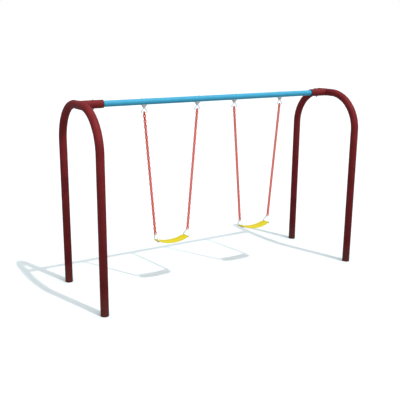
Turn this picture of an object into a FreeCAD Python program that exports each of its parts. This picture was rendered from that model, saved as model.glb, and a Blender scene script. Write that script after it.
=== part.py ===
"""Two-place swing set: two bent-tube arches, a top rail socketed between them, and two belt seats on chains.

Origin on the ground at the middle of the set, +X along the rail, +Y to the back, +Z up, millimetres.
Each swing is named left or right, and each of its hangers outer (beside the arch) or inner.
"""
import FreeCAD, Part
import math
import os

Vector = FreeCAD.Vector

# Frame: overall sizes
RAIL_HEIGHT = 2440.0          # ground to the axis of the rail and of the arch crowns
ARCH_SPACING = 3860.0         # between the planes of the two arches
LEG_SPACING = 1240.0          # between the leg axes of one arch
BEND_RADIUS = 500.0           # centre line of the arch shoulders
# Frame: tubes
POST_OD = 101.6
POST_WALL = 4.0
RAIL_OD = 76.1
RAIL_WALL = 3.6
RAIL_END_GAP = 15.0           # rail end to the arch tube, inside the sleeve
# Sleeve, collar and spacer
SLEEVE_REACH = 300.0          # arch plane to the mouth of the sleeve
COLLAR_LIP = 8.0              # ring that shows outside the mouth
COLLAR_SPIGOT = 30.0          # ring inside the mouth
SPACER_WIDTH = 20.0
RING_FIT = 0.25               # radial, rings to the rail and to the sleeve
SLEEVE_BOLT_INSET = 120.0     # mouth to the sleeve's bolt
# Bolts: shank, head and nut radii and heights
SLEEVE_BOLT_R = 6.0
HANGER_BOLT_R = 4.0
HEAD_SPREAD = 1.85            # dome head radius over shank radius
HEAD_DOME = 1.0               # dome head height over shank radius
NUT_FLAT = 1.6                # half the nut's width across flats over shank radius
NUT_HEIGHT = 1.6              # nut height over shank radius
WASHER_SPREAD = 2.1           # washer radius over shank radius
WASHER_THICKNESS = 2.5        # at the thinnest point of a saddle washer
BOLT_TAIL = 2.5               # shank past the nut
HOLE_CLEARANCE = 0.5          # radial, bolt holes
# Hanger brackets and pivots
SWING_OFFSET = 680.0          # middle of the set to the middle of each swing
HANGER_SPACING = 775.0        # between the two hangers of a swing
BRACKET_LENGTH = 72.0
BRACKET_WIDTH = 40.0
BRACKET_FLOOR = 6.0           # thinnest part of the saddle, under the rail
BRACKET_CORNER = 8.0
BRACKET_BOLT_SPACING = 54.0
EAR_THICKNESS = 6.0
EAR_RADIUS = 13.0
PIVOT_DROP = 17.0             # underside of the saddle to the pivot axis
PIN_R = 6.0
PIN_HEAD_R = 9.0
PIN_HEAD_HEIGHT = 4.0
PIN_TAIL = 6.0
PIN_GROOVE_DEPTH = 0.8
CLIP_R = 9.5
CLIP_THICKNESS = 1.5
CLIP_PLAY = 0.1
BUSH_WALL = 2.0
PIVOT_RUNNING_FIT = 0.05      # radial, pin in bush
BARREL_R = 12.0
BARREL_LENGTH = 20.0
BARREL_SIDE_PLAY = 0.5        # each side, barrel to ear
# Yoke: bent rod triangle under the barrel
ROD_R = 5.0
YOKE_HEIGHT = 74.0            # pivot axis to the axis of the bottom bar
YOKE_WIDTH = 110.0            # between the outer bends, centre lines
YOKE_NECK_DROP = 9.0          # pivot axis down to the rod ends, inside the barrel's wall
YOKE_EAR_GAP = 0.3            # skin of the rod to the edge of the ear
ROD_BEND_R = 12.0
# Chain
LINK_COUNT = 48               # even, so that the last link lies square to the first
LINK_PITCH = 34.0
LINK_WIRE_R = 5.0
LINK_INNER_WIDTH = 17.0
LINK_PLAY = 0.3               # between touching links, and between links and the rods they hang on
# Delta rings at the seat ends
DELTA_HEIGHT = 100.0          # bottom bar to the rod at the top
DELTA_LEAN_DEG = 13.2         # outward from upright, at rest
DELTA_WIDTH = 170.0           # between the two lower corners, centre lines
# Belt seat
BELT_DEPTH = 150.0
BELT_THICKNESS = 8.0
BELT_END_DEPTH = 114.0        # at the hems, between the sides of the delta rings
BELT_TAPER_START = 190.0      # half length of the full-depth part
BELT_TAPER_END = 212.0
BELT_CORNER_R = 20.0
BELT_SAG_R = 550.0
BELT_SPAN_HALF = 221.0        # middle to the start of the hem
HEM_R = 11.5
HEM_BORE_CLEARANCE = 0.4      # radial, delta bar in the hem
INSERT_THICKNESS = 2.0
INSERT_DEPTH = 60.0
INSERT_CURL_DEG = 290.0
# Levels and places that follow
POST_R = POST_OD / 2
RAIL_R = RAIL_OD / 2
SLEEVE_BORE_R = POST_R - POST_WALL
MOUTH_X = ARCH_SPACING / 2 - SLEEVE_REACH
RAIL_HALF = ARCH_SPACING / 2 - POST_R - RAIL_END_GAP
SLEEVE_BOLT_X = MOUTH_X + SLEEVE_BOLT_INSET
SADDLE_Z = RAIL_HEIGHT - RAIL_R - BRACKET_FLOOR
PIVOT_Z = SADDLE_Z - PIVOT_DROP
BAR_Z = PIVOT_Z - YOKE_HEIGHT
WIRE_SEAT = ROD_R + LINK_WIRE_R + LINK_PLAY      # rod axis to the wire of a link that hangs on it
LINK_HALF = (LINK_PITCH + LINK_PLAY) / 2 + LINK_WIRE_R
CHAIN_LENGTH = (LINK_COUNT - 1) * LINK_PITCH + 2 * LINK_HALF
X_AXIS = Vector(1, 0, 0)
Y_AXIS = Vector(0, 1, 0)
Z_AXIS = Vector(0, 0, 1)


def cylinder(radius, length, start, axis):
    """A round bar from start along axis."""
    return Part.makeCylinder(radius, length, start, axis)


def ring(outer, inner, length, start, axis):
    """A round tube from start along axis."""
    return cylinder(outer, length, start, axis).cut(cylinder(inner, length, start, axis))


def bent_edges(points, radius, closed=False):
    """Straight runs through points, joined by tangent arcs of one radius."""
    count = len(points)
    corners = range(count) if closed else range(1, count - 1)
    arcs = {}
    for i in corners:
        back = (points[i - 1] - points[i]).normalize()
        ahead = (points[(i + 1) % count] - points[i]).normalize()
        half = back.getAngle(ahead) / 2
        inward = (back + ahead).normalize()
        middle = points[i] + inward * (radius / math.sin(half) - radius)
        setback = radius / math.tan(half)
        arcs[i] = (points[i] + back * setback, middle, points[i] + ahead * setback)
    edges = []
    for i in range(count if closed else count - 1):
        after = (i + 1) % count
        start = arcs[i][2] if i in arcs else points[i]
        end = arcs[after][0] if after in arcs else points[after]
        edges.append(Part.LineSegment(start, end).toShape())
        if after in arcs:
            edges.append(Part.Arc(*arcs[after]).toShape())
    return edges


def bent_rod(points, bend_radius, radius, closed=False):
    """A round rod bent along points."""
    edges = bent_edges(points, bend_radius, closed)
    first = edges[0]
    direction = first.tangentAt(first.FirstParameter)
    circle = Part.Wire(Part.makeCircle(radius, first.valueAt(first.FirstParameter), direction))
    return Part.Wire(edges).makePipeShell([circle], True, False)


def rounded_plate(length, width, corner, bottom, top, middle_x):
    """A flat plate with rounded upright corners, centred on the rail's plane."""
    low = Vector(middle_x - length / 2, -width / 2, bottom)
    plate = Part.makeBox(length, width, top - bottom, low)
    upright = [e for e in plate.Edges if abs(e.tangentAt(e.FirstParameter).z) > 0.5]
    return plate.makeFillet(corner, upright)


def arch(side):
    """Outer and inner skins of one inverted U, as two solids."""
    x = side * ARCH_SPACING / 2
    half = LEG_SPACING / 2
    points = [Vector(x, -half, 0), Vector(x, -half, RAIL_HEIGHT),
              Vector(x, half, RAIL_HEIGHT), Vector(x, half, 0)]
    outer = bent_rod(points, BEND_RADIUS, POST_R)
    inner = bent_rod(points, BEND_RADIUS, POST_R - POST_WALL)
    return outer, inner


def saddle_washer(tube_r, bolt_r, x, up):
    """A round washer with one face shaped to a tube along X, above it or below it."""
    length = tube_r + WASHER_THICKNESS
    blank = cylinder(bolt_r * WASHER_SPREAD, length, Vector(x, 0, RAIL_HEIGHT), Z_AXIS * up)
    blank = blank.cut(cylinder(tube_r, 4 * tube_r, Vector(x - 2 * tube_r, 0, RAIL_HEIGHT), X_AXIS))
    return blank.cut(cylinder(bolt_r, length, Vector(x, 0, RAIL_HEIGHT), Z_AXIS * up))


def bolt(bolt_r, x, head_z, nut_z):
    """A dome-headed bolt standing in Z, from its seat at head_z down past a nut whose top is at nut_z."""
    tail_z = nut_z - bolt_r * NUT_HEIGHT - BOLT_TAIL
    shank = cylinder(bolt_r, head_z - tail_z, Vector(x, 0, tail_z), Z_AXIS)
    spread = bolt_r * HEAD_SPREAD
    rise = bolt_r * HEAD_DOME
    sphere_r = (spread ** 2 + rise ** 2) / (2 * rise)
    ball = Part.makeSphere(sphere_r, Vector(x, 0, head_z + rise - sphere_r))
    head = ball.common(cylinder(spread, rise, Vector(x, 0, head_z), Z_AXIS))
    return shank.fuse(head).removeSplitter()


def hex_nut(bolt_r, x, top_z):
    """A hexagon nut under top_z."""
    corner = bolt_r * NUT_FLAT / math.cos(math.pi / 6)
    height = bolt_r * NUT_HEIGHT
    angles = [k * math.pi / 3 for k in range(7)]
    points = [Vector(x + corner * math.cos(a), corner * math.sin(a), top_z - height) for a in angles]
    blank = Part.Face(Part.makePolygon(points)).extrude(Z_AXIS * height)
    return blank.cut(cylinder(bolt_r, height, Vector(x, 0, top_z - height), Z_AXIS))


def bracket_bolt_places(x):
    """Places along the rail of the two bolts of the bracket at x."""
    return [x - BRACKET_BOLT_SPACING / 2, x + BRACKET_BOLT_SPACING / 2]


def bracket(x):
    """Saddle under the rail with two ears for the pivot pin."""
    ear_inner = BARREL_LENGTH / 2 + BARREL_SIDE_PLAY
    top = RAIL_HEIGHT - math.sqrt(RAIL_R ** 2 - (BRACKET_WIDTH / 2) ** 2)
    shape = rounded_plate(BRACKET_LENGTH, BRACKET_WIDTH, BRACKET_CORNER, SADDLE_Z, top, x)
    start_x = x - BRACKET_LENGTH / 2
    shape = shape.cut(cylinder(RAIL_R, BRACKET_LENGTH, Vector(start_x, 0, RAIL_HEIGHT), X_AXIS))
    for start in (x - ear_inner - EAR_THICKNESS, x + ear_inner):
        web = Part.makeBox(EAR_THICKNESS, 2 * EAR_RADIUS, PIVOT_DROP, Vector(start, -EAR_RADIUS, PIVOT_Z))
        eye = cylinder(EAR_RADIUS, EAR_THICKNESS, Vector(start, 0, PIVOT_Z), X_AXIS)
        shape = shape.fuse(web.fuse(eye))
    shape = shape.removeSplitter()
    shape = shape.cut(cylinder(PIN_R, BRACKET_LENGTH, Vector(start_x, 0, PIVOT_Z), X_AXIS))
    for bolt_x in bracket_bolt_places(x):
        hole_r = HANGER_BOLT_R + HOLE_CLEARANCE
        shape = shape.cut(cylinder(hole_r, RAIL_R, Vector(bolt_x, 0, SADDLE_Z), Z_AXIS))
    return shape


def pivot_pin(x):
    """Pin through the ears, with its head on one side and a groove for the clip on the other."""
    reach = BARREL_LENGTH / 2 + BARREL_SIDE_PLAY + EAR_THICKNESS
    shank = cylinder(PIN_R, 2 * reach + PIN_TAIL, Vector(x - reach, 0, PIVOT_Z), X_AXIS)
    head = cylinder(PIN_HEAD_R, PIN_HEAD_HEIGHT, Vector(x - reach - PIN_HEAD_HEIGHT, 0, PIVOT_Z), X_AXIS)
    groove_width = CLIP_THICKNESS + CLIP_PLAY
    groove = ring(PIN_R, PIN_R - PIN_GROOVE_DEPTH, groove_width, Vector(x + reach, 0, PIVOT_Z), X_AXIS)
    return shank.cut(groove).fuse(head)


def pin_clip(x):
    """Snap ring in the pin's groove."""
    start = Vector(x + BARREL_LENGTH / 2 + BARREL_SIDE_PLAY + EAR_THICKNESS, 0, PIVOT_Z)
    return ring(CLIP_R, PIN_R - PIN_GROOVE_DEPTH, CLIP_THICKNESS, start, X_AXIS)


def bush(x):
    """Plain bearing bush pressed in the yoke's barrel."""
    bore = PIN_R + PIVOT_RUNNING_FIT
    return ring(bore + BUSH_WALL, bore, BARREL_LENGTH, Vector(x - BARREL_LENGTH / 2, 0, PIVOT_Z), X_AXIS)


def yoke_neck():
    """Half the distance between the rod ends, which lets the sloping rod pass the edge of the ear."""
    across = YOKE_WIDTH / 2 - BARREL_LENGTH / 2 - BARREL_SIDE_PLAY
    rise = YOKE_HEIGHT - EAR_RADIUS
    slope = math.atan2(across, rise) + math.asin((ROD_R + YOKE_EAR_GAP) / math.hypot(across, rise))
    return YOKE_WIDTH / 2 - (YOKE_HEIGHT - YOKE_NECK_DROP) * math.tan(slope)


def yoke(x):
    """Rod triangle, in two halves welded to a barrel that turns on the pivot pin."""
    neck = yoke_neck()
    neck_z = PIVOT_Z - YOKE_NECK_DROP
    start = Vector(x - BARREL_LENGTH / 2, 0, PIVOT_Z)
    shape = cylinder(BARREL_R, BARREL_LENGTH, start, X_AXIS)
    for side in (-1, 1):
        points = [Vector(x + side * neck, 0, neck_z), Vector(x + side * YOKE_WIDTH / 2, 0, BAR_Z),
                  Vector(x, 0, BAR_Z)]
        shape = shape.fuse(bent_rod(points, ROD_BEND_R, ROD_R))
    bore = cylinder(PIN_R + PIVOT_RUNNING_FIT + BUSH_WALL, BARREL_LENGTH, start, X_AXIS)
    return shape.removeSplitter().cut(bore)


def chain_link():
    """One welded link standing in the XZ plane, centred on the origin."""
    half = LINK_INNER_WIDTH / 2 + LINK_WIRE_R
    straight = LINK_HALF - half
    edges = []
    for side in (1, -1):
        low = Vector(side * half, 0, -side * straight)
        high = Vector(side * half, 0, side * straight)
        edges.append(Part.LineSegment(low, high).toShape())
        crown = Vector(0, 0, side * LINK_HALF)
        edges.append(Part.Arc(high, crown, Vector(-side * half, 0, side * straight)).toShape())
    circle = Part.Wire(Part.makeCircle(LINK_WIRE_R, Vector(half, 0, -straight), Z_AXIS))
    return Part.Wire(edges).makePipeShell([circle], True, False)


def chain(x, inward):
    """All the links from the yoke at x down to the seat, leaning inward by the chain's lean."""
    link = chain_link()
    top = Vector(x, 0, BAR_Z)
    down = Vector(inward * math.sin(CHAIN_LEAN), 0, -math.cos(CHAIN_LEAN))
    lean = FreeCAD.Rotation(Y_AXIS, -inward * math.degrees(CHAIN_LEAN))
    links = []
    for i in range(LINK_COUNT):
        turn = FreeCAD.Rotation(Z_AXIS, 90 if i % 2 == 0 else 0)
        place = top + down * (LINK_HALF - WIRE_SEAT + i * LINK_PITCH)
        piece = link.copy()
        piece.Placement = FreeCAD.Placement(place, lean.multiply(turn))
        links.append(piece)
    return Part.makeCompound(links)


CURL_R = ROD_R + HEM_BORE_CLEARANCE + INSERT_THICKNESS / 2
SAG_ANGLE = math.asin(BELT_SPAN_HALF / BELT_SAG_R)      # the belt's slope at the hems, from level
HEM_X = (BELT_SAG_R + CURL_R) * math.sin(SAG_ANGLE)     # middle of the seat to a hem's axis
HEM_RISE = BELT_SAG_R - (BELT_SAG_R + CURL_R) * math.cos(SAG_ANGLE)
DELTA_LEAN = math.radians(DELTA_LEAN_DEG)
TOP_ROD_X = HEM_X + DELTA_HEIGHT * math.sin(DELTA_LEAN)
CHAIN_LEAN = math.asin((HANGER_SPACING / 2 - TOP_ROD_X) / (CHAIN_LENGTH - 2 * WIRE_SEAT))
LAST_WIRE_Z = BAR_Z - (CHAIN_LENGTH - WIRE_SEAT) * math.cos(CHAIN_LEAN)
TOP_ROD_Z = LAST_WIRE_Z + WIRE_SEAT * math.cos(CHAIN_LEAN)
HEM_Z = TOP_ROD_Z - DELTA_HEIGHT * math.cos(DELTA_LEAN)
BELT_Z = HEM_Z - HEM_RISE


def band(centre, radius, thickness, angles, depth):
    """A curved strip round centre in the XZ plane, between two angles from +X, extruded in Y."""
    def at(r, angle):
        return Vector(centre.x + r * math.cos(angle), -depth / 2, centre.z + r * math.sin(angle))
    low, high = angles
    middle = (low + high) / 2
    near = radius - thickness / 2
    far = radius + thickness / 2
    edges = [Part.Arc(at(far, low), at(far, middle), at(far, high)).toShape(),
             Part.LineSegment(at(far, high), at(near, high)).toShape(),
             Part.Arc(at(near, high), at(near, middle), at(near, low)).toShape(),
             Part.LineSegment(at(near, low), at(far, low)).toShape()]
    return Part.Face(Part.Wire(edges)).extrude(Y_AXIS * depth)


def belt_strip(middle_x, thickness, depth):
    """The sagging strip between the hems."""
    down = -math.pi / 2
    centre = Vector(middle_x, 0, BELT_Z + BELT_SAG_R)
    return band(centre, BELT_SAG_R, thickness, (down - SAG_ANGLE, down + SAG_ANGLE), depth)


def hem_places(middle_x):
    """Side and axis point of each hem of the seat at middle_x."""
    return [(side, Vector(middle_x + side * HEM_X, 0, HEM_Z)) for side in (-1, 1)]


def seat_insert(middle_x):
    """Spring steel strip inside the belt, curled round the delta bars at its ends."""
    shape = belt_strip(middle_x, INSERT_THICKNESS, INSERT_DEPTH)
    for side, axis in hem_places(middle_x):
        start = math.pi / 2 + side * SAG_ANGLE
        angles = sorted((start, start - side * math.radians(INSERT_CURL_DEG)))
        shape = shape.fuse(band(axis, CURL_R, INSERT_THICKNESS, angles, INSERT_DEPTH))
    return shape.removeSplitter()


def belt_outline(middle_x):
    """Plan view of the belt as an upright prism: full depth in the middle, narrower at the hems."""
    half = BELT_DEPTH / 2
    end_half = BELT_END_DEPTH / 2
    end = HEM_X + 2 * HEM_R
    quarter = [(end, end_half), (BELT_TAPER_END, end_half), (BELT_TAPER_START, half)]
    outline = quarter + [(-x, y) for x, y in reversed(quarter)]
    outline += [(-x, -y) for x, y in outline]
    points = [Vector(middle_x + x, y, 0) for x, y in outline]
    return Part.Face(Part.Wire(bent_edges(points, BELT_CORNER_R, True))).extrude(Z_AXIS * RAIL_HEIGHT)


def seat(middle_x, insert):
    """Moulded rubber belt with a round hem at each end."""
    shape = belt_strip(middle_x, BELT_THICKNESS, BELT_DEPTH)
    for _, axis in hem_places(middle_x):
        start = axis - Y_AXIS * (BELT_DEPTH / 2)
        shape = shape.fuse(cylinder(HEM_R, BELT_DEPTH, start, Y_AXIS))
    shape = shape.removeSplitter().common(belt_outline(middle_x))
    for _, axis in hem_places(middle_x):
        start = axis - Y_AXIS * (BELT_DEPTH / 2)
        shape = shape.cut(cylinder(ROD_R + HEM_BORE_CLEARANCE, BELT_DEPTH, start, Y_AXIS))
    return shape.cut(insert)


def delta(side, hem_axis):
    """Triangular rod ring from the hem up to the last link, leaning outward by the delta's lean."""
    up = Vector(side * math.sin(DELTA_LEAN), 0, math.cos(DELTA_LEAN))
    half = DELTA_WIDTH / 2
    centre = DELTA_HEIGHT - ROD_BEND_R
    reach = half * ROD_BEND_R * math.sqrt(half ** 2 + centre ** 2 - ROD_BEND_R ** 2)
    peak = (half ** 2 * centre + reach) / (half ** 2 - ROD_BEND_R ** 2)
    points = [hem_axis - Y_AXIS * half, hem_axis + Y_AXIS * half, hem_axis + up * peak]
    edges = bent_edges(points, ROD_BEND_R, True)
    first = edges[0]
    start = first.valueAt(first.FirstParameter)
    circle = Part.Wire(Part.makeCircle(ROD_R, start, Y_AXIS))
    return Part.Wire(edges).makePipeShell([circle], True, False)


def write(name, shape):
    """Save one node."""
    shape.exportStep("parts/" + name + ".step")


def write_group(name, shapes):
    """Save like pieces as one node of separate solids."""
    write(name, Part.makeCompound(shapes))


def build_frame(hanger_places):
    """Arches, sleeves, collars, spacers, rail and the bolts that hold them."""
    hole_r = SLEEVE_BOLT_R + HOLE_CLEARANCE
    bolts = []
    nuts = []
    washers = []
    for name, side in (("left", -1), ("right", 1)):
        outer, inner = arch(side)
        write(name + "_arch", outer.cut(inner))
        inward = X_AXIS * -side
        mouth = Vector(side * MOUTH_X, 0, RAIL_HEIGHT)
        bolt_x = side * SLEEVE_BOLT_X
        upright = cylinder(hole_r, 2 * POST_OD, Vector(bolt_x, 0, RAIL_HEIGHT - POST_OD), Z_AXIS)
        sleeve = ring(POST_R, SLEEVE_BORE_R, SLEEVE_REACH, mouth, inward * -1).cut(outer)
        write(name + "_sleeve", sleeve.cut(upright))
        ring_bore = RAIL_R + RING_FIT
        lip = ring(POST_R, ring_bore, COLLAR_LIP, mouth, inward)
        spigot = ring(SLEEVE_BORE_R - RING_FIT, ring_bore, COLLAR_SPIGOT, mouth, inward * -1)
        write(name + "_collar", lip.fuse(spigot))
        rail_end = Vector(side * RAIL_HALF, 0, RAIL_HEIGHT)
        write(name + "_spacer", ring(SLEEVE_BORE_R - RING_FIT, ring_bore, SPACER_WIDTH, rail_end, inward))
        seat_z = POST_R + WASHER_THICKNESS
        washers += [saddle_washer(POST_R, SLEEVE_BOLT_R, bolt_x, up) for up in (1, -1)]
        bolts.append(bolt(SLEEVE_BOLT_R, bolt_x, RAIL_HEIGHT + seat_z, RAIL_HEIGHT - seat_z))
        nuts.append(hex_nut(SLEEVE_BOLT_R, bolt_x, RAIL_HEIGHT - seat_z))
    write_group("sleeve_bolts", bolts)
    write_group("sleeve_nuts", nuts)
    write_group("sleeve_washers", washers)
    rail = ring(RAIL_R, RAIL_R - RAIL_WALL, 2 * RAIL_HALF, Vector(-RAIL_HALF, 0, RAIL_HEIGHT), X_AXIS)
    hanger_hole_r = HANGER_BOLT_R + HOLE_CLEARANCE
    holes = [(side * SLEEVE_BOLT_X, hole_r) for side in (-1, 1)]
    holes += [(x, hanger_hole_r) for place in hanger_places for x in bracket_bolt_places(place)]
    for x, radius in holes:
        rail = rail.cut(cylinder(radius, 2 * RAIL_OD, Vector(x, 0, RAIL_HEIGHT - RAIL_OD), Z_AXIS))
    write("top_rail", rail)


def build_hangers(places):
    """Brackets, pivot pins and their fasteners, all fixed to the rail."""
    head_z = RAIL_HEIGHT + RAIL_R + WASHER_THICKNESS
    for name, x in places.items():
        write(name + "_bracket", bracket(x))
        write(name + "_pivot_pin", pivot_pin(x))
    bolt_places = [b for x in places.values() for b in bracket_bolt_places(x)]
    write_group("pin_clips", [pin_clip(x) for x in places.values()])
    write_group("hanger_bolts", [bolt(HANGER_BOLT_R, b, head_z, SADDLE_Z) for b in bolt_places])
    write_group("hanger_nuts", [hex_nut(HANGER_BOLT_R, b, SADDLE_Z) for b in bolt_places])
    write_group("hanger_washers", [saddle_washer(RAIL_R, HANGER_BOLT_R, b, 1) for b in bolt_places])


def build_swing(name, middle_x):
    """Yokes, bushes, chains, delta rings and the belt seat of one swing."""
    out = 1 if middle_x > 0 else -1
    insert = seat_insert(middle_x)
    write(name + "_seat_insert", insert)
    write(name + "_seat", seat(middle_x, insert))
    for side, hem_axis in hem_places(middle_x):
        full = name + ("_outer" if side == out else "_inner")
        x = middle_x + side * HANGER_SPACING / 2
        write(full + "_yoke", yoke(x))
        write(full + "_bush", bush(x))
        write(full + "_chain", chain(x, -side))
        write(full + "_delta", delta(side, hem_axis))


def main():
    os.makedirs("parts", exist_ok=True)
    half = HANGER_SPACING / 2
    places = {"left_outer": -SWING_OFFSET - half, "left_inner": -SWING_OFFSET + half,
              "right_inner": SWING_OFFSET - half, "right_outer": SWING_OFFSET + half}
    build_frame(list(places.values()))
    build_hangers(places)
    build_swing("left", -SWING_OFFSET)
    build_swing("right", SWING_OFFSET)
    print("pivot z", round(PIVOT_Z, 3), "bar z", round(BAR_Z, 3), "last wire z", round(LAST_WIRE_Z, 3))
    print("belt middle z", round(BELT_Z, 3), "hem z", round(HEM_Z, 3))
    print("chain lean in degrees", round(math.degrees(CHAIN_LEAN), 3))


main()
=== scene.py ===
import math

import bmesh
import bpy
from mathutils import Matrix, Vector


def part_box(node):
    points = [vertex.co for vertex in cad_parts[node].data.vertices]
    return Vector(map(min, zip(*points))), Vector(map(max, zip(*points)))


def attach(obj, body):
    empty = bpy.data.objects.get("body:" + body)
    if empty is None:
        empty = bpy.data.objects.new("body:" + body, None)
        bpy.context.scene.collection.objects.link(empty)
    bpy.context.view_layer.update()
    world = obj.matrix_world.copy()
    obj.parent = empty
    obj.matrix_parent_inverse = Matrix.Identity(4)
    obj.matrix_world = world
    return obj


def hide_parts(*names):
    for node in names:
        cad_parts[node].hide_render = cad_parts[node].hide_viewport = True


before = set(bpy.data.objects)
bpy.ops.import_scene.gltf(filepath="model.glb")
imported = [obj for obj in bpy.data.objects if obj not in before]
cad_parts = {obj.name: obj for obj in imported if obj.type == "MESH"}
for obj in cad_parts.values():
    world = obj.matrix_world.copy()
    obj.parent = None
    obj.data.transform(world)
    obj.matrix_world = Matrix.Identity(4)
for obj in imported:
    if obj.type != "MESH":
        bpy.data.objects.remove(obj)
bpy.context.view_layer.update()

# ---------------------------------------------------------------------------------------------
# Arches. Each is one steel tube, 101.6 by 4 mm, bent cold over a former into an inverted U.
# It is shot-blasted and powder-coated in a stoved polyester, and its feet go into the ground.
# ---------------------------------------------------------------------------------------------
X_AXIS = Vector((1, 0, 0))
Y_AXIS = Vector((0, 1, 0))
Z_AXIS = Vector((0, 0, 1))
SHARP_ANGLE = math.radians(38)


def linear(code):
    """An sRGB hex colour as linear RGBA."""
    channels = [int(code[i:i + 2], 16) / 255 for i in (1, 3, 5)]
    return [c / 12.92 if c <= 0.04045 else ((c + 0.055) / 1.055) ** 2.4 for c in channels] + [1]


def per_mm(size):
    """The texture scale, in cells per metre, of a pattern whose real size is in millimetres."""
    return 1000 / size


def add_node(tree, kind, inputs=None, **settings):
    """Adds a node, sets its properties, and fills its inputs with values or with other nodes' sockets."""
    node = tree.nodes.new(kind)
    for key, value in settings.items():
        setattr(node, key, value)
    for key, value in (inputs or {}).items():
        if isinstance(value, bpy.types.NodeSocket):
            tree.links.new(value, node.inputs[key])
        else:
            node.inputs[key].default_value = value
    return node


def new_material(name, **uniform):
    """An empty material with a shader whose uniform values are given, and the object's own coordinates."""
    material = bpy.data.materials.new(name)
    material.use_nodes = True
    tree = material.node_tree
    tree.nodes.clear()
    values = {key.replace("_", " "): value for key, value in uniform.items()}
    shader = add_node(tree, "ShaderNodeBsdfPrincipled", values)
    add_node(tree, "ShaderNodeOutputMaterial", {"Surface": shader.outputs[0]})
    place = add_node(tree, "ShaderNodeTexCoord").outputs["Object"]
    return material, tree, shader, place


def powder_coat(name, colour, deep, shine, foot_dust=0.0):
    """Stoved polyester powder: an even colour that clouds a little, with a fine orange-peel skin."""
    material, tree, shader, place = new_material(name, Specular_IOR_Level=shine, IOR=1.5)
    cloud = add_node(tree, "ShaderNodeTexNoise", {"Vector": place, "Scale": per_mm(160), "Detail": 3.0})
    spread = add_node(tree, "ShaderNodeMapRange", {0: cloud.outputs[0], 1: 0.35, 2: 0.7})
    tint = add_node(tree, "ShaderNodeMix", {0: spread.outputs[0], 6: linear(colour), 7: linear(deep)},
                    data_type="RGBA")
    paint = tint.outputs[2]
    if foot_dust:
        # Soil splashed up from the ground fades out over the lowest 300 mm.
        height = add_node(tree, "ShaderNodeSeparateXYZ", {0: place}).outputs["Z"]
        splash = add_node(tree, "ShaderNodeTexNoise", {"Vector": place, "Scale": per_mm(18), "Detail": 6.0})
        low = add_node(tree, "ShaderNodeMapRange", {0: height, 1: 0.0, 2: 0.3, 3: foot_dust, 4: 0.0})
        amount = add_node(tree, "ShaderNodeMath", {0: low.outputs[0], 1: splash.outputs[0]},
                          operation="MULTIPLY")
        paint = add_node(tree, "ShaderNodeMix", {0: amount.outputs[0], 6: paint, 7: linear("#8A7A68")},
                         data_type="RGBA").outputs[2]
    tree.links.new(paint, shader.inputs["Base Color"])
    # Orange peel is about 1 mm across on the real coat; it is drawn at 3 mm so that it shows.
    peel = add_node(tree, "ShaderNodeTexNoise", {"Vector": place, "Scale": per_mm(3), "Detail": 2.0})
    rub = add_node(tree, "ShaderNodeTexNoise", {"Vector": place, "Scale": per_mm(60), "Detail": 5.0})
    gloss = add_node(tree, "ShaderNodeMapRange", {0: rub.outputs[0], 1: 0.3, 2: 0.7, 3: 0.46, 4: 0.6})
    tree.links.new(gloss.outputs[0], shader.inputs["Roughness"])
    skin = add_node(tree, "ShaderNodeBump",
                    {"Height": peel.outputs[0], "Strength": 0.25, "Distance": 0.0004})
    tree.links.new(skin.outputs[0], shader.inputs["Normal"])
    return material


def ring_edges(bm, centre, axis, radius, sides):
    """A round loop of edges about centre, facing along axis."""
    turn = axis.to_track_quat("Z", "Y").to_matrix().to_4x4()
    place = Matrix.Translation(centre) @ turn
    made = bmesh.ops.create_circle(bm, segments=sides, radius=radius, matrix=place)
    return list({edge for vert in made["verts"] for edge in vert.link_edges})


def run_tube(bm, edges, travel):
    """Carries an open loop of edges straight along travel, and returns the far loop."""
    made = bmesh.ops.extrude_edge_only(bm, edges=edges)["geom"]
    bmesh.ops.translate(bm, verts=[g for g in made if isinstance(g, bmesh.types.BMVert)], vec=travel)
    return [g for g in made if isinstance(g, bmesh.types.BMEdge) and len(g.link_faces) == 1]


def bend_tube(bm, edges, centre, axis, angle, steps):
    """Carries an open loop of edges round a bend, and returns the far loop."""
    verts = list({vert for edge in edges for vert in edge.verts})
    made = bmesh.ops.spin(bm, geom=verts + edges, cent=centre, axis=axis, angle=angle, steps=steps)
    return [g for g in made["geom_last"] if isinstance(g, bmesh.types.BMEdge)]


def make_piece(name, bm, material, body, slot, *nodes):
    """Turns a finished bmesh into a piece that rides on a body and stands for CAD nodes."""
    bmesh.ops.recalc_face_normals(bm, faces=bm.faces)
    mesh = bpy.data.meshes.new(name)
    bm.to_mesh(mesh)
    bm.free()
    mesh.materials.append(material)
    mesh.shade_smooth()
    mesh.set_sharp_from_angle(angle=SHARP_ANGLE)
    piece = bpy.data.objects.new(name, mesh)
    bpy.context.scene.collection.objects.link(piece)
    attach(piece, body)
    if nodes:
        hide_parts(*nodes)
    return piece


ARCH_BEND = 0.5
ARCH_WALL = 0.004
ARCH_SIDES = 48
ARCH_BEND_STEPS = 28
arch_coat = powder_coat("maroon_polyester_powder_coat", "#85282A", "#772326", 0.1, foot_dust=0.5)


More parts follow.
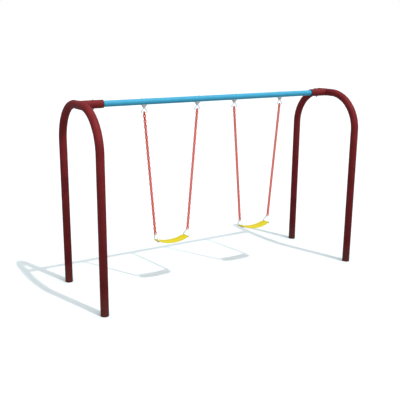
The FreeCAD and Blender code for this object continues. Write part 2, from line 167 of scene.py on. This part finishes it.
def arch_tube(side):
    """The bent post of one side, open at its two feet."""
    low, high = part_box(side + "_arch")
    radius = (high.x - low.x) / 2
    x = low.x + radius
    leg_y = high.y - radius
    shoulder_z = high.z - radius - ARCH_BEND
    bm = bmesh.new()
    loop = ring_edges(bm, Vector((x, -leg_y, 0)), Z_AXIS, radius, ARCH_SIDES)
    loop = run_tube(bm, loop, Z_AXIS * shoulder_z)
    loop = bend_tube(bm, loop, (x, ARCH_BEND - leg_y, shoulder_z), X_AXIS, -math.pi / 2, ARCH_BEND_STEPS)
    loop = run_tube(bm, loop, Y_AXIS * 2 * (leg_y - ARCH_BEND))
    loop = bend_tube(bm, loop, (x, leg_y - ARCH_BEND, shoulder_z), X_AXIS, -math.pi / 2, ARCH_BEND_STEPS)
    run_tube(bm, loop, Z_AXIS * -shoulder_z)
    arch = make_piece(side + "_bent_arch", bm, arch_coat, "frame", "arch_paint", side + "_arch")
    wall = arch.modifiers.new("wall", "SOLIDIFY")
    wall.thickness = ARCH_WALL
    wall.offset = -1


for side in ("left", "right"):
    arch_tube(side)

# ---------------------------------------------------------------------------------------------
# Sleeves. A short stub of the same tube is coped to each arch's crown and welded all round.
# The bead is laid in short pushes, so it is rippled, and it is painted over with the arch.
# ---------------------------------------------------------------------------------------------
BEAD_RADIUS = 0.0065
BEAD_SINK = 0.0036
BEAD_SIDES = 10
BEAD_STEPS = 144
BEAD_RIPPLES = 36
BEAD_RIPPLE_SHARE = 0.12
# The bead is coloured far darker than the arch, as painted shade for the crease where the tubes meet, so it
# shows as a dark line.
bead_shade_coat = powder_coat("maroon_coat_with_painted_seam_shade", "#4A1618", "#2E0D0F", 0.1)


def weld_bead(side, outward):
    """The bead in the saddle-shaped seam between two tubes of one size that meet square."""
    low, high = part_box(side + "_arch")
    tube_radius = (high.x - low.x) / 2
    crown = Vector((low.x + tube_radius, 0, high.z - tube_radius))
    seam_radius = tube_radius - BEAD_SINK
    bm = bmesh.new()
    loop = ring_edges(bm, crown + Z_AXIS * seam_radius, Y_AXIS, BEAD_RADIUS, BEAD_SIDES)
    verts = list({vert for edge in loop for vert in edge.verts})
    bmesh.ops.spin(bm, geom=verts + loop, cent=crown, axis=X_AXIS, angle=math.tau, steps=BEAD_STEPS,
                   use_merge=True)
    for vert in bm.verts:
        arm = vert.co - crown
        angle = math.atan2(arm.z, arm.y)
        seam = Vector((0, math.cos(angle), math.sin(angle))) * seam_radius
        ripple = 1 + BEAD_RIPPLE_SHARE * math.cos(BEAD_RIPPLES * angle)
        vert.co = crown + seam + (arm - seam) * ripple - X_AXIS * outward * abs(seam.y)
    make_piece(side + "_weld_bead", bm, bead_shade_coat, "frame", "arch_paint")


for side, outward in (("left", -1), ("right", 1)):
    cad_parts[side + "_sleeve"].material_slots[0].material = arch_coat
    weld_bead(side, outward)

# ---------------------------------------------------------------------------------------------
# Top rail. A plain 76 mm steel tube, sawn square and powder-coated in light blue.
# Its two ends slide into the sleeves, where a through-bolt holds each of them.
# ---------------------------------------------------------------------------------------------
rail_coat = powder_coat("light_blue_polyester_powder_coat", "#3DA9CE", "#37A1C6", 0.4)
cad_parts["top_rail"].material_slots[0].material = rail_coat

# ---------------------------------------------------------------------------------------------
# Collars and spacers. Black moulded polyethylene rings centre the rail in its sleeve.
# The collar's lip closes the mouth of the sleeve, and the spacer sits out of sight at the rail's end.
# ---------------------------------------------------------------------------------------------


def moulded_plastic(name, colour, joint_shaded):
    """Moulded polyethylene: waxy and dull, with the fine spark-eroded grain of its mould."""
    material, tree, shader, place = new_material(name, Specular_IOR_Level=0.4, IOR=1.51)
    patch = add_node(tree, "ShaderNodeTexNoise", {"Vector": place, "Scale": per_mm(12), "Detail": 4.0})
    tint = add_node(tree, "ShaderNodeMix", {0: patch.outputs[0], 6: linear(colour), 7: linear(joint_shaded)},
                    data_type="RGBA")
    tree.links.new(tint.outputs[2], shader.inputs["Base Color"])
    dull = add_node(tree, "ShaderNodeMapRange", {0: patch.outputs[0], 3: 0.42, 4: 0.6})
    tree.links.new(dull.outputs[0], shader.inputs["Roughness"])
    grain = add_node(tree, "ShaderNodeTexNoise", {"Vector": place, "Scale": per_mm(0.6), "Detail": 1.0})
    skin = add_node(tree, "ShaderNodeBump",
                    {"Height": grain.outputs[0], "Strength": 0.3, "Distance": 0.0001})
    tree.links.new(skin.outputs[0], shader.inputs["Normal"])
    return material


black_plastic = moulded_plastic("black_moulded_polyethylene", "#1B1D20", "#2B2E31")
for side in ("left", "right"):
    for ring in ("_collar", "_spacer"):
        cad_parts[side + ring].material_slots[0].material = black_plastic

# ---------------------------------------------------------------------------------------------
# Bolts, nuts, washers, pivot pins and snap rings. Bought-in steel fasteners, zinc-plated bright.
# They hold the rail in its sleeves, the brackets under the rail and the yokes in the brackets.
# ---------------------------------------------------------------------------------------------


def zinc_plate(name):
    """Bright zinc plating: silvery with a faint warm passivation, over turned marks under 1 mm apart."""
    material, tree, shader, place = new_material(name, Metallic=1.0)
    patch = add_node(tree, "ShaderNodeTexNoise", {"Vector": place, "Scale": per_mm(9), "Detail": 3.0})
    tint = add_node(tree, "ShaderNodeMix", {0: patch.outputs[0], 6: linear("#C3C8CC"), 7: linear("#B5B2A4")},
                    data_type="RGBA")
    tree.links.new(tint.outputs[2], shader.inputs["Base Color"])
    dull = add_node(tree, "ShaderNodeMapRange", {0: patch.outputs[0], 3: 0.26, 4: 0.42})
    tree.links.new(dull.outputs[0], shader.inputs["Roughness"])
    marks = add_node(tree, "ShaderNodeTexNoise", {"Vector": place, "Scale": per_mm(0.8), "Detail": 2.0})
    skin = add_node(tree, "ShaderNodeBump",
                    {"Height": marks.outputs[0], "Strength": 0.15, "Distance": 0.0001})
    tree.links.new(skin.outputs[0], shader.inputs["Normal"])
    return material


HANGERS = ("left_outer", "left_inner", "right_inner", "right_outer")
bright_zinc = zinc_plate("bright_zinc_plated_steel")
fasteners = ["sleeve_bolts", "sleeve_nuts", "sleeve_washers", "hanger_bolts", "hanger_nuts", "hanger_washers",
             "pin_clips"]
for node in fasteners + [hanger + "_pivot_pin" for hanger in HANGERS]:
    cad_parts[node].material_slots[0].material = bright_zinc

# ---------------------------------------------------------------------------------------------
# Brackets and yokes. Steel plate and bent rod, welded and then dipped in molten zinc.
# Each bracket is bolted up under the rail, and the yoke's barrel turns on the pin between its ears.
# ---------------------------------------------------------------------------------------------


def hot_dip_zinc(name):
    """Hot-dip galvanising: pale matt grey broken into faint crystal flakes some 7 mm across."""
    material, tree, shader, place = new_material(name, Metallic=0.9)
    flakes = add_node(tree, "ShaderNodeTexVoronoi", {"Vector": place, "Scale": per_mm(7)})
    value = add_node(tree, "ShaderNodeSeparateColor", {0: flakes.outputs["Color"]}).outputs[0]
    tint = add_node(tree, "ShaderNodeMix", {0: value, 6: linear("#D8DDE0"), 7: linear("#ECEFF0")},
                    data_type="RGBA")
    tree.links.new(tint.outputs[2], shader.inputs["Base Color"])
    dull = add_node(tree, "ShaderNodeMapRange", {0: value, 3: 0.42, 4: 0.58})
    tree.links.new(dull.outputs[0], shader.inputs["Roughness"])
    runs = add_node(tree, "ShaderNodeTexNoise", {"Vector": place, "Scale": per_mm(4), "Detail": 3.0})
    skin = add_node(tree, "ShaderNodeBump",
                    {"Height": runs.outputs[0], "Strength": 0.2, "Distance": 0.0004})
    tree.links.new(skin.outputs[0], shader.inputs["Normal"])
    return material


galvanised = hot_dip_zinc("hot_dip_galvanised_steel")
for hanger in HANGERS:
    for part in ("_bracket", "_yoke"):
        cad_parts[hanger + part].material_slots[0].material = galvanised

# ---------------------------------------------------------------------------------------------
# Bushes. Plain bearings of sintered bronze, pressed from powder and soaked in oil.
# One is fitted in the barrel of each yoke, and turns on the pivot pin.
# ---------------------------------------------------------------------------------------------


def oiled_bronze(name):
    """Sintered bronze: a brown metal speckled with open pores under half a millimetre across."""
    material, tree, shader, place = new_material(name, Metallic=1.0)
    pores = add_node(tree, "ShaderNodeTexNoise", {"Vector": place, "Scale": per_mm(0.5), "Detail": 3.0})
    tint = add_node(tree, "ShaderNodeMix", {0: pores.outputs[0], 6: linear("#8C6A3C"), 7: linear("#B58B50")},
                    data_type="RGBA")
    tree.links.new(tint.outputs[2], shader.inputs["Base Color"])
    dull = add_node(tree, "ShaderNodeMapRange", {0: pores.outputs[0], 3: 0.3, 4: 0.5})
    tree.links.new(dull.outputs[0], shader.inputs["Roughness"])
    return material


bronze = oiled_bronze("oiled_sintered_bronze")
for hanger in HANGERS:
    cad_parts[hanger + "_bush"].material_slots[0].material = bronze

# ---------------------------------------------------------------------------------------------
# Chains. 48 welded links of 10 mm wire in each, dipped in soft red plastic that adds 2 mm all round.
# Every link lies square to the next, and each chain leans in from its yoke to the seat's ring.
# ---------------------------------------------------------------------------------------------
LINKS = 48
LINK_STEEL_RADIUS = 0.005
LINK_STEEL_WIDTH = 0.017
LINK_COAT = 0.002
LINK_PLAY = 0.0003
ROD_RADIUS = 0.005
WIRE_SIDES = 6
CROWN_STEPS = 5


def coated_chain(name):
    """Soft dipped plastic: satin on the legs of a link, with painted shade on its crown, where the next link
    overlaps it.
    """
    material, tree, shader, place = new_material(name, Specular_IOR_Level=0.1, IOR=1.5)
    patch = add_node(tree, "ShaderNodeTexNoise", {"Vector": place, "Scale": per_mm(25), "Detail": 3.0})
    tint = add_node(tree, "ShaderNodeMix", {0: patch.outputs[0], 6: linear("#FB5126"), 7: linear("#F0471F")},
                    data_type="RGBA")
    crown = add_node(tree, "ShaderNodeAttribute", attribute_name="crown").outputs["Fac"]
    # Painted shade: each link's crown, where the next link crosses it, is darkened towards a deep red.
    joint_shade = add_node(tree, "ShaderNodeMapRange", {0: crown, 1: 0.3, 2: 1.0, 3: 0.0, 4: 0.75})
    joint_shaded = add_node(tree, "ShaderNodeMix", {0: joint_shade.outputs[0], 6: tint.outputs[2], 7: linear("#B02E1C")},
                    data_type="RGBA")
    tree.links.new(joint_shaded.outputs[2], shader.inputs["Base Color"])
    dull = add_node(tree, "ShaderNodeMapRange", {0: crown, 3: 0.42, 4: 0.3})
    tree.links.new(dull.outputs[0], shader.inputs["Roughness"])
    return material


red_coat = coated_chain("red_coated_chain")


def link_mesh(pitch):
    """One link standing in the XZ plane about the origin."""
    bend = LINK_STEEL_WIDTH / 2 + LINK_STEEL_RADIUS
    straight = (pitch + LINK_PLAY) / 2 + LINK_STEEL_RADIUS - bend
    coated = LINK_STEEL_RADIUS + LINK_COAT
    bm = bmesh.new()
    loop = ring_edges(bm, Vector((bend, 0, -straight)), Z_AXIS, coated, WIRE_SIDES)
    for up in (1, -1):
        loop = run_tube(bm, loop, Z_AXIS * 2 * straight * up)
        loop = bend_tube(bm, loop, (0, 0, straight * up), Y_AXIS, -math.pi, CROWN_STEPS)
    bmesh.ops.remove_doubles(bm, verts=bm.verts, dist=LINK_STEEL_RADIUS / 20)
    mesh = bpy.data.meshes.new("link")
    bm.to_mesh(mesh)
    bm.free()
    return mesh


def hanging_chain(hanger, body, inward):
    """All the links of one chain, from the bar of its yoke down to the top of the seat's ring."""
    low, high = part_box(hanger + "_yoke")
    bar = Vector(((low.x + high.x) / 2, 0, low.z + ROD_RADIUS))
    low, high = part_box(hanger + "_delta")
    ring_x = low.x + ROD_RADIUS if inward > 0 else high.x - ROD_RADIUS
    ring_top = Vector((ring_x, 0, high.z - ROD_RADIUS))
    down = (ring_top - bar).normalized()
    pitch = ((ring_top - bar).length + 2 * ROD_RADIUS + LINK_PLAY) / LINKS
    first = bar + down * ((pitch - LINK_PLAY) / 2 - ROD_RADIUS)
    lean = Z_AXIS.rotation_difference(-down).to_matrix().to_4x4()
    link = link_mesh(pitch)
    link_top = max(vert.co.z for vert in link.vertices)
    crowns = [max(0.0, abs(vert.co.z) / link_top) ** 3 for vert in link.vertices]
    bm = bmesh.new()
    for i in range(LINKS):
        count = len(bm.verts)
        bm.from_mesh(link)
        bm.verts.ensure_lookup_table()
        turn = Matrix.Rotation(math.pi / 2 if i % 2 == 0 else 0, 4, "Z")
        place = Matrix.Translation(first + down * pitch * i) @ lean @ turn
        bmesh.ops.transform(bm, matrix=place, verts=bm.verts[count:])
    piece = make_piece(hanger + "_link_chain", bm, red_coat, body, "chain_coating", hanger + "_chain")
    crown = piece.data.attributes.new("crown", "FLOAT", "POINT")
    crown.data.foreach_set("value", crowns * LINKS)
    bpy.data.meshes.remove(link)


for hanger in HANGERS:
    swing = hanger.split("_")[0]
    hanging_chain(hanger, swing + "_chains", 1 if hanger in ("left_outer", "right_inner") else -1)

# ---------------------------------------------------------------------------------------------
# Delta rings. 10 mm steel rod bent to a triangle, welded shut and galvanised.
# The bottom bar of each runs through a hem of the seat, and the last link hangs on its top.
# ---------------------------------------------------------------------------------------------
for hanger in HANGERS:
    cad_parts[hanger + "_delta"].material_slots[0].material = galvanised

# ---------------------------------------------------------------------------------------------
# Belt seats. Yellow rubber moulded in one over a strip of spring steel, 8 mm thick and 150 mm deep.
# The belt sags between two round hems, which it narrows to, and its edges are rounded by the mould.
# ---------------------------------------------------------------------------------------------
BELT_THICKNESS = 0.008
BELT_DEPTH = 0.150
BELT_END_DEPTH = 0.114
BELT_TAPER = (0.184, 0.218)
BELT_SAG_R = 0.550
BELT_SPAN_HALF = 0.221
HEM_CURL_R = 0.0064
BELT_EDGE_R = 0.0028
BELT_STEPS = 24
HEM_STEPS = 22
SAME_PLACE = 0.0001


def moulded_rubber(name):
    """Playground rubber in yellow: matt, with a leathery mould grain and faint patches in its tone and
    roughness.
    """
    material, tree, shader, place = new_material(name, Specular_IOR_Level=0.25, IOR=1.52)
    patch = add_node(tree, "ShaderNodeTexNoise", {"Vector": place, "Scale": per_mm(45), "Detail": 5.0})
    tint = add_node(tree, "ShaderNodeMix", {0: patch.outputs[0], 6: linear("#E6D22C"), 7: linear("#DCC621")},
                    data_type="RGBA")
    tree.links.new(tint.outputs[2], shader.inputs["Base Color"])
    dull = add_node(tree, "ShaderNodeMapRange", {0: patch.outputs[0], 3: 0.5, 4: 0.68})
    tree.links.new(dull.outputs[0], shader.inputs["Roughness"])
    # The leathery grain has cells about 1.5 mm across.
    grain = add_node(tree, "ShaderNodeTexVoronoi", {"Vector": place, "Scale": per_mm(1.5)},
                     feature="SMOOTH_F1")
    skin = add_node(tree, "ShaderNodeBump",
                    {"Height": grain.outputs[0], "Strength": 0.25, "Distance": 0.0002})
    tree.links.new(skin.outputs[0], shader.inputs["Normal"])
    return material


yellow_rubber = moulded_rubber("yellow_moulded_rubber")


def belt_seat(swing):
    """The belt and its two hems, drawn as one outline in the XZ plane and carried across the seat."""
    deltas = [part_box(hanger + "_delta") for hanger in HANGERS if hanger.startswith(swing)]
    middle_x = (min(low.x for low, high in deltas) + max(high.x for low, high in deltas)) / 2
    hem_z = deltas[0][0].z + ROD_RADIUS
    end_bend = math.asin(BELT_SPAN_HALF / BELT_SAG_R)
    half = BELT_THICKNESS / 2
    hem_radius = HEM_CURL_R + half
    arm = BELT_SAG_R + HEM_CURL_R
    hem = Vector((middle_x + arm * math.sin(end_bend), 0, hem_z))
    centre = hem - arm * Vector((math.sin(end_bend), 0, -math.cos(end_bend)))
    # The underside meets the hem this far short of the hem's own angle.
    under = BELT_SAG_R + half
    meet = math.acos((under ** 2 + arm ** 2 - hem_radius ** 2) / (2 * under * arm))
    bm = bmesh.new()
    last = [bm.verts.new((centre.x, -BELT_DEPTH / 2, centre.z - under))]

    def turn(about, angle, steps):
        made = bmesh.ops.spin(bm, geom=last, cent=about, axis=-Y_AXIS, angle=angle, steps=steps)
        last[:] = [g for g in made["geom_last"] if isinstance(g, bmesh.types.BMVert)]

    turn(centre, end_bend - meet, BELT_STEPS)
    arm_out = last[0].co - hem
    start = math.atan2(arm_out.z, arm_out.x) % math.tau
    turn(hem, end_bend + math.pi / 2 + math.tau - start, HEM_STEPS)
    turn(centre, -end_bend, BELT_STEPS)
    bmesh.ops.mirror(bm, geom=bm.verts[:] + bm.edges[:], matrix=Matrix.Translation((-centre.x, 0, 0)),
                     axis="X", merge_dist=SAME_PLACE)
    bmesh.ops.remove_doubles(bm, verts=bm.verts, dist=SAME_PLACE)
    face = bmesh.ops.contextual_create(bm, geom=bm.edges[:])["faces"]
    made = bmesh.ops.extrude_face_region(bm, geom=face)["geom"]
    bmesh.ops.translate(bm, verts=[g for g in made if isinstance(g, bmesh.types.BMVert)],
                        vec=Y_AXIS * BELT_DEPTH)
    rims = [edge for edge in bm.edges if abs(edge.verts[0].co.y - edge.verts[1].co.y) < BELT_EDGE_R]
    bmesh.ops.bevel(bm, geom=rims, offset=BELT_EDGE_R, offset_type="OFFSET", segments=3, profile=0.5,
                    affect="EDGES", material=-1)
    ends = [f for f in bm.faces if len(f.verts) > 4]
    bmesh.ops.triangulate(bm, faces=ends)
    for vert in bm.verts:
        reach = (abs(vert.co.x - centre.x) - BELT_TAPER[0]) / (BELT_TAPER[1] - BELT_TAPER[0])
        ease = min(1.0, max(0.0, reach))
        ease = ease * ease * (3 - 2 * ease)
        vert.co.y *= 1 + ease * (BELT_END_DEPTH / BELT_DEPTH - 1)
    make_piece(swing + "_belt_seat", bm, yellow_rubber, swing + "_seat", "seat_rubber", swing + "_seat")


for swing in ("left", "right"):
    belt_seat(swing)

# ---------------------------------------------------------------------------------------------
# Seat inserts. Rolled spring steel strip, blued by its heat treatment.
# Each is curled round the rings' bars at both ends and moulded into the rubber, out of sight.
# ---------------------------------------------------------------------------------------------


def blued_spring_steel(name):
    """Cold-rolled strip: dark blue-grey, with a faint grain drawn out along the seat."""
    material, tree, shader, place = new_material(name, Metallic=1.0)
    along = add_node(tree, "ShaderNodeMapping", {"Vector": place, "Scale": (0.05, 1.0, 1.0)})
    rolled = add_node(tree, "ShaderNodeTexNoise", {"Vector": along.outputs[0], "Scale": per_mm(1.5),
                                                   "Detail": 3.0})
    tint = add_node(tree, "ShaderNodeMix", {0: rolled.outputs[0], 6: linear("#4A4F57"), 7: linear("#6B7078")},
                    data_type="RGBA")
    tree.links.new(tint.outputs[2], shader.inputs["Base Color"])
    dull = add_node(tree, "ShaderNodeMapRange", {0: rolled.outputs[0], 3: 0.3, 4: 0.45})
    tree.links.new(dull.outputs[0], shader.inputs["Roughness"])
    return material


spring_steel = blued_spring_steel("blued_spring_steel")
for swing in ("left", "right"):
    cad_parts[swing + "_seat_insert"].material_slots[0].material = spring_steel

# ---------------------------------------------------------------------------------------------
# Studio. A wide pale floor, a white surround and one high lamp in front and to the right.
# The surround is brightest about the lamp, as it is round a large soft one.
# ---------------------------------------------------------------------------------------------
FLOOR_SIZE = 60.0
FLOOR_BOUNCE = "#A0A0A0"


def matt_floor(name):
    """Painted screed: pale blue-grey, almost even. It looks white, but throws back part of that light."""
    material, tree, shader, place = new_material(name, Roughness=0.9, Specular_IOR_Level=0.0)
    cloud = add_node(tree, "ShaderNodeTexNoise", {"Vector": place, "Scale": per_mm(900), "Detail": 2.0})
    tint = add_node(tree, "ShaderNodeMix", {0: cloud.outputs[0], 6: linear("#F3F6F7"), 7: linear("#F5F7F8")},
                    data_type="RGBA")
    seen = add_node(tree, "ShaderNodeLightPath").outputs["Is Camera Ray"]
    shown = add_node(tree, "ShaderNodeMix", {0: seen, 6: linear(FLOOR_BOUNCE), 7: tint.outputs[2]},
                     data_type="RGBA")
    tree.links.new(shown.outputs[2], shader.inputs["Base Color"])
    return material


bm = bmesh.new()
bmesh.ops.create_grid(bm, x_segments=2, y_segments=2, size=FLOOR_SIZE)
floor_mesh = bpy.data.meshes.new("studio_floor")
bm.to_mesh(floor_mesh)
bm.free()
floor_mesh.materials.append(matt_floor("pale_floor"))
floor = bpy.data.objects.new("studio_floor", floor_mesh)
bpy.context.scene.collection.objects.link(floor)

LAMP_TRAVEL = Vector((-0.15, 0.46, -0.88))
LAMP_STRENGTH = 1.45
LAMP_WIDTH = math.radians(1.2)
lamp_data = bpy.data.lights.new("key_lamp", "SUN")
lamp_data.energy = LAMP_STRENGTH
lamp_data.angle = LAMP_WIDTH
lamp = bpy.data.objects.new("key_lamp", lamp_data)
lamp.rotation_euler = LAMP_TRAVEL.to_track_quat("-Z", "Y").to_euler()
bpy.context.scene.collection.objects.link(lamp)

FILL_ALL_ROUND = 0.34
FILL_NEAR_LAMP = 1.24
world = bpy.data.worlds.new("white_surround")
world.use_nodes = True
sky = world.node_tree
sky.nodes.clear()
toward = add_node(sky, "ShaderNodeTexCoord").outputs["Generated"]
facing = add_node(sky, "ShaderNodeVectorMath", {0: toward, 1: -LAMP_TRAVEL}, operation="DOT_PRODUCT")
near = add_node(sky, "ShaderNodeMath", {0: facing.outputs["Value"], 1: 0.0}, operation="MAXIMUM")
lobe = add_node(sky, "ShaderNodeMath", {0: near.outputs[0], 1: 2.0}, operation="POWER")
level = add_node(sky, "ShaderNodeMath", {0: lobe.outputs[0], 1: FILL_NEAR_LAMP, 2: FILL_ALL_ROUND},
                 operation="MULTIPLY_ADD")
fill = add_node(sky, "ShaderNodeBackground", {"Color": linear("#F1F9FC"), "Strength": level.outputs[0]})
backdrop = add_node(sky, "ShaderNodeBackground", {"Color": (1, 1, 1, 1), "Strength": 1.0})
seen = add_node(sky, "ShaderNodeLightPath").outputs["Is Camera Ray"]
mixed = add_node(sky, "ShaderNodeMixShader", {0: seen, 1: fill.outputs[0], 2: backdrop.outputs[0]})
add_node(sky, "ShaderNodeOutputWorld", {"Surface": mixed.outputs[0]})
bpy.context.scene.world = world
bpy.context.scene.view_settings.view_transform = "Standard"

# ---------------------------------------------------------------------------------------------
# Camera. It stands in front and to the left, well above head height, and looks a little down.
# ---------------------------------------------------------------------------------------------
CAMERA_PLACE = (-4.516, -6.986, 3.196)
CAMERA_DOWN = math.radians(13.789)
CAMERA_RIGHT = math.radians(29.373)
CAMERA_LENS = 55.79
CAMERA_SHIFT = (0.0554, -0.0215)
camera_data = bpy.data.cameras.new("camera")
camera_data.lens = CAMERA_LENS
camera_data.shift_x, camera_data.shift_y = CAMERA_SHIFT
camera = bpy.data.objects.new("camera", camera_data)
camera.location = CAMERA_PLACE
camera.rotation_euler = (math.pi / 2 - CAMERA_DOWN, 0, -CAMERA_RIGHT)
bpy.context.scene.collection.objects.link(camera)
bpy.context.scene.camera = camera
